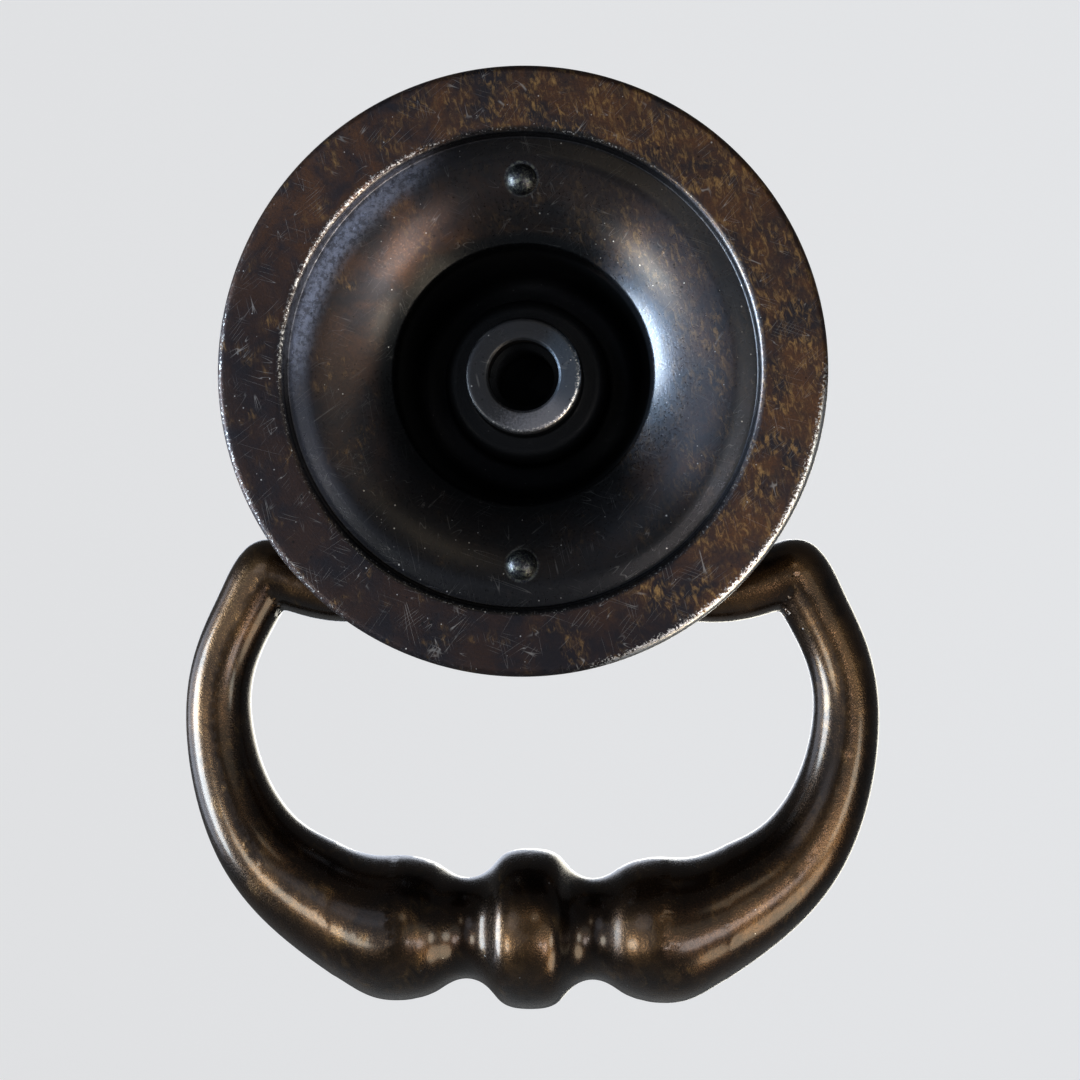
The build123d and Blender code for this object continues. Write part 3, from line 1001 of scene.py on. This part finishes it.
def mark_rubbed(piece):
    """Writes how far each point stands proud of its surroundings, for the wear and the painted sheen in the
    material.
    """
    mesh = piece.data
    count = len(mesh.vertices)
    places = np.empty(count * 3)
    mesh.vertices.foreach_get("co", places)
    places = places.reshape(-1, 3)
    normals = np.empty(count * 3)
    mesh.vertices.foreach_get("normal", normals)
    normals = normals.reshape(-1, 3)
    ends = np.empty(len(mesh.edges) * 2, dtype=np.int64)
    mesh.edges.foreach_get("vertices", ends)
    ends = ends.reshape(-1, 2)
    neighbours = np.bincount(ends.ravel(), minlength=count)
    smooth = places.copy()
    for _ in range(rubbed_smoothing):
        total = np.zeros_like(smooth)
        for axis in range(3):
            total[:, axis] += np.bincount(ends[:, 0], smooth[ends[:, 1], axis], count)
            total[:, axis] += np.bincount(ends[:, 1], smooth[ends[:, 0], axis], count)
        smooth = total / neighbours[:, None]
    proud = ((places - smooth) * normals).sum(axis=1)
    value = np.clip(proud / rubbed_height, 0.0, 1.0)
    attribute = mesh.attributes.new("rubbed", "FLOAT", "POINT")
    attribute.data.foreach_set("value", value.astype(np.float32))


def paint(piece, material):
    piece.data.materials.clear()
    piece.data.materials.append(material)


def stage_material():
    """Pale paper: evenly bright to the camera, and mirrored dimly by polished metal."""
    material, tree, shader = new_material("pale_paper")
    shader.inputs["Base Color"].default_value = (0.3, 0.3, 0.3, 1)
    shader.inputs["Roughness"].default_value = 0.9
    shader.inputs["Emission Color"].default_value = (0.97, 0.98, 1.0, 1)
    rays = add_node(tree, "ShaderNodeLightPath")
    seen = calculate(tree, "MULTIPLY", rays.outputs["Is Camera Ray"], 0.72)
    mirrored = calculate(tree, "MULTIPLY", rays.outputs["Is Glossy Ray"], 0.06)
    feed(tree, shader.inputs["Emission Strength"], calculate(tree, "ADD", seen, mirrored))
    return material


def studio_floor():
    """Pale round floor that curves up into a wall far behind the pull, on every side of it."""
    deselect_all()
    bpy.ops.mesh.primitive_circle_add(vertices=96, radius=stage_radius - stage_bend, fill_type="NGON",
                                      location=(0, 0, floor_height))
    piece = name_piece("studio_floor")
    bpy.ops.object.transform_apply(location=True, rotation=True, scale=True)
    edit(piece, "EDGE")
    bpy.ops.mesh.select_all(action="SELECT")
    radius = stage_radius - stage_bend
    height = 0.0
    for step in range(1, stage_bend_steps + 1):
        angle = math.radians(90 * step / stage_bend_steps)
        new_radius = stage_radius - stage_bend + stage_bend * math.sin(angle)
        new_height = stage_bend * (1 - math.cos(angle))
        bpy.ops.mesh.extrude_edges_move(TRANSFORM_OT_translate={"value": (0, 0, new_height - height)})
        bpy.ops.transform.resize(value=(new_radius / radius, new_radius / radius, 1))
        radius = new_radius
        height = new_height
    bpy.ops.mesh.extrude_edges_move(TRANSFORM_OT_translate={"value": (0, 0, stage_height - height)})
    bpy.ops.object.mode_set(mode="OBJECT")
    shade_smooth(piece, 60)
    paint(piece, stage_material())


def photo_direction(azimuth, off_axis):
    """A direction as the photograph shows it: degrees turning up from its right, and off its view axis."""
    turn = math.radians(azimuth)
    lean = math.radians(off_axis)
    return Vector((-math.sin(lean) * math.cos(turn), math.cos(lean), math.sin(lean) * math.sin(turn)))


def softbox(name, azimuth, off_axis, distance, width, height, colour, brightness):
    """A round lamp aimed at the pull and unseen by the camera; white paper is white at brightness 1."""
    direction = photo_direction(azimuth, off_axis)
    light = bpy.data.lights.new(name, "AREA")
    light.shape = "ELLIPSE"
    light.size = width
    light.size_y = height
    light.color = colour
    light.energy = brightness * math.pi * width * height * math.pi / 4
    lamp = bpy.data.objects.new(name, light)
    bpy.context.collection.objects.link(lamp)
    lamp.location = lit_place + direction * distance
    lamp.rotation_euler = (-direction).to_track_quat("-Z", "Y").to_euler()
    lamp.visible_camera = False


def lights():
    """A cool window at the photograph's left, warm lamps at its right, a lit room in front of the pull."""
    softbox("window", 187, 78, 0.42, 0.18, 0.32, cool, 32.0)
    softbox("sky", 141, 31, 0.6, 0.26, 0.26, sky_blue, 1.0)
    softbox("pale_wall", 187, 36, 0.6, 0.7, 0.5, sky_blue, 0.6)
    softbox("small_lamp", -46, 22, 0.4, 0.03, 0.03, rosy, 26.0)
    softbox("ceiling_lamp", 75, 26, 0.5, 0.1, 0.1, golden, 3.0)
    softbox("warm_wall", -16, 51, 0.4, 0.1, 0.1, warm_white, 10.0)
    softbox("warm_floor", -36, 33, 0.5, 0.12, 0.12, rosy, 10.0)
    softbox("warm_room", -12, 26, 0.6, 0.45, 0.4, warm_white, 0.7)
    softbox("low_bounce_right", -42, 66, 0.3, 0.13, 0.13, golden, 8.0)
    softbox("low_bounce_left", -152, 41, 0.4, 0.11, 0.11, warm_white, 14.0)
    softbox("window_wall", 185, 100, 0.6, 0.5, 0.5, sky_blue, 3.0)
    softbox("front_window", 150, 172, 0.7, 0.5, 0.5, sky_blue, 1.5)
    softbox("front_room", -20, 165, 0.7, 0.5, 0.5, warm_white, 3.0)


def soft_room():
    """A dim even glow from all round."""
    world = bpy.data.worlds.new("soft_room")
    bpy.context.scene.world = world
    world.use_nodes = True
    background = world.node_tree.nodes["Background"]
    background.inputs["Color"].default_value = (0.95, 0.97, 1.0, 1)
    background.inputs["Strength"].default_value = 0.1


def camera():
    data = bpy.data.cameras.new("photo_camera")
    data.lens = camera_lens
    data.sensor_width = sensor_width
    data.clip_start = 1 * MM
    viewer = bpy.data.objects.new("photo_camera", data)
    bpy.context.collection.objects.link(viewer)
    viewer.location = camera_place
    viewer.rotation_euler = (math.radians(90), 0, math.pi + camera_turn)
    bpy.context.scene.camera = viewer


plate = drop_pull_plate()
thread = screw_thread()
bail = drop_pull_bail()
mark_rubbed(bail)
effects = {"mottling": mottling_group(), "scratches": scratches_group(),
           "specks": specks_group(), "edge": turned_edge_group()}
plate_brass = plate_material(effects)
paint(plate, plate_brass)
paint(thread, plate_brass)
paint(bail, bail_material(effects))

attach(plate, "plate")
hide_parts("backplate")
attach(thread, "plate")
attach(bail, "bail")
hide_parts("bail")

studio_floor()
lights()
soft_room()
camera()
bpy.context.scene.view_settings.view_transform = "Standard"
